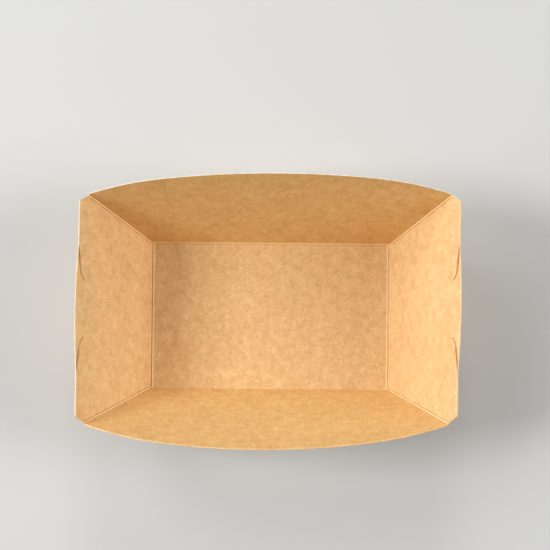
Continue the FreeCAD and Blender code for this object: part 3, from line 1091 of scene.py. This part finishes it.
class Shader:
    """A node material under construction, with short calls for the nodes that board needs."""

    def __init__(self, name: str) -> None:
        """Start a material with one principled shader.

        Args:
            name: the material's name.
        """
        self.material = bpy.data.materials.new(name)
        self.material.use_nodes = True
        self.nodes = self.material.node_tree.nodes
        self.links = self.material.node_tree.links
        self.surface = self.nodes["Principled BSDF"]

    def feed(self, node: bpy.types.Node, inputs: dict[str | int, Value]) -> None:
        """Link or set some of a node's inputs.

        Args:
            node: the node.
            inputs: a value or another node's output for each input, by name or number.
        """
        for socket, value in inputs.items():
            if isinstance(value, bpy.types.NodeSocket):
                self.links.new(value, node.inputs[socket])
            else:
                node.inputs[socket].default_value = value

    def add(self, kind: str, inputs: dict[str | int, Value], **settings: object) -> bpy.types.Node:
        """Add a node, set it up and link or set its inputs.

        Args:
            kind: the node's type.
            inputs: a value or another node's output for each input, by name or number.
            settings: the node's own properties.

        Returns:
            The new node.
        """
        node = self.nodes.new(kind)
        for setting, value in settings.items():
            setattr(node, setting, value)
        self.feed(node, inputs)
        return node

    def maths(self, operation: str, *values: Value) -> bpy.types.NodeSocket:
        """Return the result of a sum on numbers or outputs."""
        node = self.add("ShaderNodeMath", dict(enumerate(values)), operation=operation)
        return node.outputs[0]

    def weighed(self, *parts: tuple[Value, float], middle: float = 0.0) -> bpy.types.NodeSocket:
        """Return the sum of some patterns.

        Args:
            parts: each pattern with its weight.
            middle: a number that the sum starts from.

        Returns:
            The sum's output.
        """
        total: Value = middle
        for pattern, weight in parts:
            total = self.maths("MULTIPLY_ADD", pattern, weight, total)
        return total

    def spread(
        self, value: Value, start: float, end: float, low: float, high: float
    ) -> bpy.types.NodeSocket:
        """Return a value carried smoothly from one range to another.

        Args:
            value: the value.
            start: where the old range starts.
            end: where the old range ends.
            low: the result at start.
            high: the result at end.

        Returns:
            The result's output.
        """
        inputs = {"Value": value, "From Min": start, "From Max": end, "To Min": low, "To Max": high}
        return self.add("ShaderNodeMapRange", inputs, interpolation_type="SMOOTHSTEP").outputs[0]

    def blended(
        self, share: Value, first: Value, second: Value, mode: str = "MIX"
    ) -> bpy.types.NodeSocket:
        """Return two colours mixed by a share.

        Args:
            share: how much of the second colour shows.
            first: the colour below.
            second: the colour above.
            mode: the way in which they mix.

        Returns:
            The mixed colour's output.
        """
        inputs = {MIX_SHARE: share, MIX_FIRST: first, MIX_SECOND: second}
        node = self.add("ShaderNodeMix", inputs, data_type="RGBA", blend_type=mode)
        return node.outputs[MIX_COLOUR]

    def layered(self, below: Value, pattern: Value, layer: Layer) -> bpy.types.NodeSocket:
        """Return a colour with a layer laid over it by a pattern."""
        share = self.spread(pattern, layer.start, layer.end, 0.0, layer.strength)
        return self.blended(share, below, colour(layer.tone))

    def clouds(self, place: Value, cloud: Cloud) -> bpy.types.NodeSocket:
        """Return a noise pattern between nought and one.

        Args:
            place: where the pattern is read.
            cloud: the pattern's scale and form.

        Returns:
            The pattern's output.
        """
        inputs = {
            "Vector": place,
            "Scale": cloud.scale,
            "Detail": cloud.detail,
            "Roughness": cloud.roughness,
        }
        return self.add("ShaderNodeTexNoise", inputs).outputs[0]

    def turned(
        self, place: Value, angle: float, length: float = 1.0, width: float = 1.0
    ) -> bpy.types.NodeSocket:
        """Return a place turned about Z and counted in steps of a length and a width.

        Args:
            place: the place.
            angle: the turn in degrees.
            length: length of a step along the turned X.
            width: length of a step along the turned Y.

        Returns:
            The turned place's output.
        """
        turn = (0.0, 0.0, math.radians(angle))
        inputs = {"Vector": place, "Rotation": turn, "Scale": (length, width, 1.0)}
        return self.add("ShaderNodeMapping", inputs, vector_type="TEXTURE").outputs[0]

    def where(self) -> bpy.types.NodeSocket:
        """Return the place on the object."""
        return self.add("ShaderNodeTexCoord", {}).outputs["Object"]

    def flat_place(self) -> bpy.types.NodeSocket:
        """Return the place on the flat sheet, in millimetres."""
        return self.add("ShaderNodeUVMap", {}, uv_map=FLAT_MAP).outputs[0]

    def relief(self, height: Value, strength: float, depth: float) -> bpy.types.NodeSocket:
        """Return the normals of a surface with a fine relief."""
        inputs = {"Height": height, "Strength": strength, "Distance": depth}
        return self.add("ShaderNodeBump", inputs).outputs[0]


PALE_FIBRE: Tone = (0.965, 0.835, 0.645)
DARK_FIBRE: Tone = (0.780, 0.580, 0.370)


@dataclass(frozen=True)
class KraftFace:
    """Uncoated brown kraft board: cloudy pulp, fine fibres and a few dark flecks, with painted
    highlights and painted shade along its folds, slits and rims.

    The pulp's clouds are broad ones and blotches added up. Fibres follow the flat sheet in
    millimetres, the painted highlights and shade follow the layer written on the sheet, and the rest
    follows the place on the object in metres. The long walls take a warmer tint, painted bounce
    light from the kraft walls facing them; their run is how far they flare for one unit of height.
    """

    broad: Cloud = Cloud(60.0, 3.0, 0.5)
    blotch: Cloud = Cloud(240.0, 5.0, 0.62)
    rosy: Cloud = Cloud(170.0, 3.0, 0.6)
    grain: Cloud = Cloud(1500.0, 3.0, 0.7)
    broad_share: float = 0.25
    rosy_turn: float = 30.0
    dark_pulp: Tone = (0.842, 0.676, 0.458)
    ground: Layer = Layer((0.880, 0.728, 0.514), 0.36, 0.52, 1.0)
    pale_pulp: Layer = Layer((0.922, 0.778, 0.568), 0.50, 0.66, 0.9)
    rosy_pulp: Layer = Layer((0.895, 0.712, 0.502), 0.46, 0.62, 0.5)
    pale_fibres: Layer = Layer(PALE_FIBRE, 0.55, 0.76, 0.75)
    dark_fibres: Layer = Layer(DARK_FIBRE, 0.45, 0.26, 0.50)
    dark_grain: Layer = Layer(DARK_FIBRE, 0.50, 0.36, 0.18)
    pale_grain: Layer = Layer(PALE_FIBRE, 0.50, 0.64, 0.18)
    # Painted shade in grooves and beside slits, and painted highlight on beads, noses and rims.
    painted_shade: Layer = Layer((0.620, 0.330, 0.100), 0.0, -1.0, 0.90)
    painted_highlight: Layer = Layer((0.985, 0.875, 0.690), 0.0, 1.0, 0.95)
    # A warmer tint on the long walls: painted bounce light from the facing kraft walls.
    long_wall_bounce_tint: Tone = (1.000, 0.995, 0.930)
    long_wall_run: float = 0.31
    long_fold: float = 0.034
    tint_fade: float = 0.0012
    strand: Cloud = Cloud(1.0, 2.0, 0.55)
    strand_angles: tuple[float, ...] = (8.0, 52.0, -37.0, 96.0)
    strand_widths: tuple[float, ...] = (0.50, 0.44, 0.47, 0.42)
    strand_length: float = 2.4
    strand_contrast: float = 0.62
    fleck: Tone = (0.450, 0.290, 0.160)
    fleck_scale: float = 130.0
    fleck_core: float = 0.018
    fleck_reach: float = 0.05
    fleck_rarity: float = 0.88
    fleck_strength: float = 0.7
    dull: float = 0.85
    smooth: float = 0.72
    gloss_start: float = 0.3
    gloss_end: float = 0.7
    specular: float = 0.32
    fibre_relief: float = 0.6
    grain_relief: float = 0.4
    blotch_relief: float = 0.8
    relief_strength: float = 0.35
    relief_depth: float = 0.00006

    def build(self) -> bpy.types.Material:
        """Build the material from its patterns, layer by layer.

        Returns:
            The finished material.
        """
        shader = Shader("kraft_face")
        place = shader.where()
        blotches = shader.clouds(place, self.blotch)
        broad = shader.clouds(place, self.broad)
        cloud = shader.weighed((broad, self.broad_share), (blotches, 1 - self.broad_share))
        rosy = shader.clouds(shader.turned(place, self.rosy_turn), self.rosy)
        grain = shader.clouds(place, self.grain)
        fibres = self.fibres(shader)
        tone: Value = colour(self.dark_pulp)
        for pattern, layer in (
            (cloud, self.ground),
            (cloud, self.pale_pulp),
            (rosy, self.rosy_pulp),
            (fibres, self.pale_fibres),
            (fibres, self.dark_fibres),
            (grain, self.dark_grain),
            (grain, self.pale_grain),
        ):
            tone = shader.layered(tone, pattern, layer)
        tone = shader.blended(self.flecks(shader, place), tone, colour(self.fleck))
        # The long walls take the painted bounce tint.
        bounce_tinted = shader.blended(1.0, tone, colour(self.long_wall_bounce_tint), "MULTIPLY")
        tone = shader.blended(self.on_long_walls(shader, place), tone, bounce_tinted)
        # Painted shade and painted highlight from the sheet's layer.
        painted_shading_mask = shader.add("ShaderNodeAttribute", {}, attribute_name=PAINTED_SHADING_LAYER).outputs["Fac"]
        tone = shader.layered(tone, painted_shading_mask, self.painted_shade)
        tone = shader.layered(tone, painted_shading_mask, self.painted_highlight)
        height = shader.weighed(
            (fibres, self.fibre_relief), (grain, self.grain_relief), (blotches, self.blotch_relief)
        )
        looks = {
            "Base Color": tone,
            "Roughness": shader.spread(cloud, self.gloss_start, self.gloss_end, self.dull, self.smooth),
            "Specular IOR Level": self.specular,
            "Normal": shader.relief(height, self.relief_strength, self.relief_depth),
        }
        shader.feed(shader.surface, looks)
        return shader.material

    def on_long_walls(self, shader: Shader, place: Value) -> bpy.types.NodeSocket:
        """Tell the long walls, which take the painted bounce tint, from the rest of the tray, by how
        far out a place lies.

        Args:
            shader: the material under construction.
            place: the place on the object.

        Returns:
            One on the long walls and nought elsewhere.
        """
        parts = shader.add("ShaderNodeSeparateXYZ", {"Vector": place}).outputs
        flare = shader.maths("MULTIPLY", parts["Z"], self.long_wall_run)
        across = shader.maths("SUBTRACT", shader.maths("ABSOLUTE", parts["Y"]), flare)
        return shader.spread(across, self.long_fold - self.tint_fade, self.long_fold, 0.0, 1.0)

    def fibres(self, shader: Shader) -> bpy.types.NodeSocket:
        """Lay fine fibres in several directions on the flat sheet.

        Args:
            shader: the material under construction.

        Returns:
            The pattern of fibres, one half on average.
        """
        flat = shader.flat_place()
        strands = []
        for angle, width in zip(self.strand_angles, self.strand_widths):
            lay = shader.turned(flat, angle, self.strand_length, width)
            strands.append((shader.clouds(lay, self.strand), self.strand_contrast))
        middle = 0.5 * (1 - self.strand_contrast * len(strands))
        return shader.weighed(*strands, middle=middle)

    def flecks(self, shader: Shader, place: Value) -> bpy.types.NodeSocket:
        """Scatter the few dark flecks of bark in the pulp.

        Args:
            shader: the material under construction.
            place: the place on the object.

        Returns:
            How strongly a fleck shows.
        """
        cells = shader.add("ShaderNodeTexVoronoi", {"Vector": place, "Scale": self.fleck_scale})
        near = shader.spread(cells.outputs["Distance"], self.fleck_core, self.fleck_reach, 1.0, 0.0)
        parts = shader.add("ShaderNodeSeparateColor", {"Color": cells.outputs["Color"]}).outputs
        chosen = parts["Red"]
        few = shader.maths("GREATER_THAN", chosen, self.fleck_rarity)
        return shader.maths("MULTIPLY", shader.maths("MULTIPLY", near, few), self.fleck_strength)


@dataclass(frozen=True)
class CutEdge:
    """The cut edge of the board: pale torn fibres over slightly darker pulp."""

    pulp: Tone = (0.860, 0.710, 0.520)
    core: Layer = Layer((0.960, 0.860, 0.700), 0.38, 0.60, 1.0)
    torn: Cloud = Cloud(2600.0, 4.0, 0.7)
    broad: Cloud = Cloud(300.0, 3.0, 0.5)
    torn_share: float = 0.6
    roughness: float = 0.88
    relief_strength: float = 0.5
    relief_depth: float = 0.00005

    def build(self) -> bpy.types.Material:
        """Build the material.

        Returns:
            The finished material.
        """
        shader = Shader("cut_edge")
        place = shader.where()
        torn = shader.clouds(place, self.torn)
        broad = shader.clouds(place, self.broad)
        share = shader.weighed((torn, self.torn_share), (broad, 1 - self.torn_share))
        looks = {
            "Base Color": shader.layered(colour(self.pulp), share, self.core),
            "Roughness": self.roughness,
            "Normal": shader.relief(torn, self.relief_strength, self.relief_depth),
        }
        shader.feed(shader.surface, looks)
        return shader.material


@dataclass(frozen=True)
class Softbox:
    """A square soft light that faces the tray.

    The bearing is the angle from X towards Y, and the level is how bright it alone makes a white
    card that faces it. Size and distance are in metres.
    """

    name: str
    bearing: float
    elevation: float
    level: float
    size: float = 0.45
    distance: float = 1.25

    def build(self) -> None:
        """Add the light to the scene, at its distance from the middle of the tray's base."""
        data = bpy.data.lights.new(self.name, "AREA")
        data.size = self.size
        data.energy = self.level * (math.pi * self.distance) ** 2
        light = bpy.data.objects.new(self.name, data)
        bpy.context.scene.collection.objects.link(light)
        bearing, elevation = math.radians(self.bearing), math.radians(self.elevation)
        level_way = Vector((math.cos(bearing), math.sin(bearing), 0)) * math.cos(elevation)
        way = level_way + Vector((0, 0, math.sin(elevation)))
        light.location = way * self.distance
        light.rotation_euler = (-way).to_track_quat("-Z", "Y").to_euler()


@dataclass(frozen=True)
class Studio:
    """The pale floor, the soft lights and the camera above the tray.

    The camera's place and the gap below the tray are in millimetres, its angles in degrees, and
    the floor's reach in metres.
    """

    softboxes: tuple[Softbox, ...] = (
        Softbox("left_low_softbox", 180.0, 18.0, 0.39),
        Softbox("left_softbox", 180.0, 46.0, 0.60, 0.36),
        Softbox("back_left_softbox", 135.0, 46.0, 0.20),
        Softbox("back_softbox", 90.0, 37.0, 0.22, 0.30),
        Softbox("right_low_softbox", 0.0, 28.0, 0.42),
        Softbox("right_softbox", 0.0, 46.0, 0.21, 0.30),
    )
    world_level: float = 0.12
    camera_place: tuple[float, float, float] = (10.0, -36.45, 598.0)
    tilt: float = 0.877
    pan: float = 0.14
    roll: float = 0.568
    lens: float = 83.66
    shift: tuple[float, float] = (-0.0233, 0.1813)
    floor_reach: float = 3.0
    floor_gap: float = 0.03
    floor_tone: Tone = (0.77, 0.77, 0.765)
    floor_roughness: float = 0.9

    def place_camera(self) -> None:
        """Place the camera at the photograph's viewing angle."""
        data = bpy.data.cameras.new("camera")
        data.lens = self.lens
        data.shift_x, data.shift_y = self.shift
        camera = bpy.data.objects.new("camera", data)
        bpy.context.scene.collection.objects.link(camera)
        turn = Matrix.Rotation(math.radians(self.pan), 4, "Y")
        turn @= Matrix.Rotation(math.radians(self.tilt), 4, "X")
        turn @= Matrix.Rotation(math.radians(self.roll), 4, "Z")
        camera.matrix_world = Matrix.Translation(Vector(self.camera_place) * MM) @ turn
        bpy.context.scene.camera = camera

    def lay_floor(self) -> None:
        """Lay the plain pale floor."""
        bpy.ops.object.select_all(action="DESELECT")
        place = (0, 0, -self.floor_gap * MM)
        bpy.ops.mesh.primitive_plane_add(size=self.floor_reach, location=place)
        floor = bpy.context.object
        floor.name = "floor"
        shader = Shader("pale_floor")
        looks = {"Base Color": colour(self.floor_tone), "Roughness": self.floor_roughness}
        shader.feed(shader.surface, looks)
        floor.data.materials.append(shader.material)

    def light(self) -> None:
        """Light the tray with its soft lights and a low even level from all around."""
        for softbox in self.softboxes:
            softbox.build()
        world = bpy.data.worlds.new("studio")
        world.use_nodes = True
        background = world.node_tree.nodes["Background"]
        background.inputs["Color"].default_value = (1.0, 1.0, 1.0, 1.0)
        background.inputs["Strength"].default_value = self.world_level
        bpy.context.scene.world = world

    def build(self) -> None:
        """Set the whole stage."""
        self.place_camera()
        self.lay_floor()
        self.light()


def main() -> None:
    """Build the stage and the tray."""
    logging.basicConfig(level=logging.INFO, format="%(message)s")
    bpy.context.scene.view_settings.view_transform = "Standard"
    _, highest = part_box(TRAY_NODE)
    sizes = TraySizes(apex_height=highest.z / MM)
    Studio().build()
    tray = FoldedTray(sizes, Stations(sizes)).build()
    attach(tray, BODY)
    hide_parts(TRAY_NODE)
    log.info("%s: %d faces", tray.name, len(tray.data.polygons))


if __name__ == "__main__":
    main()
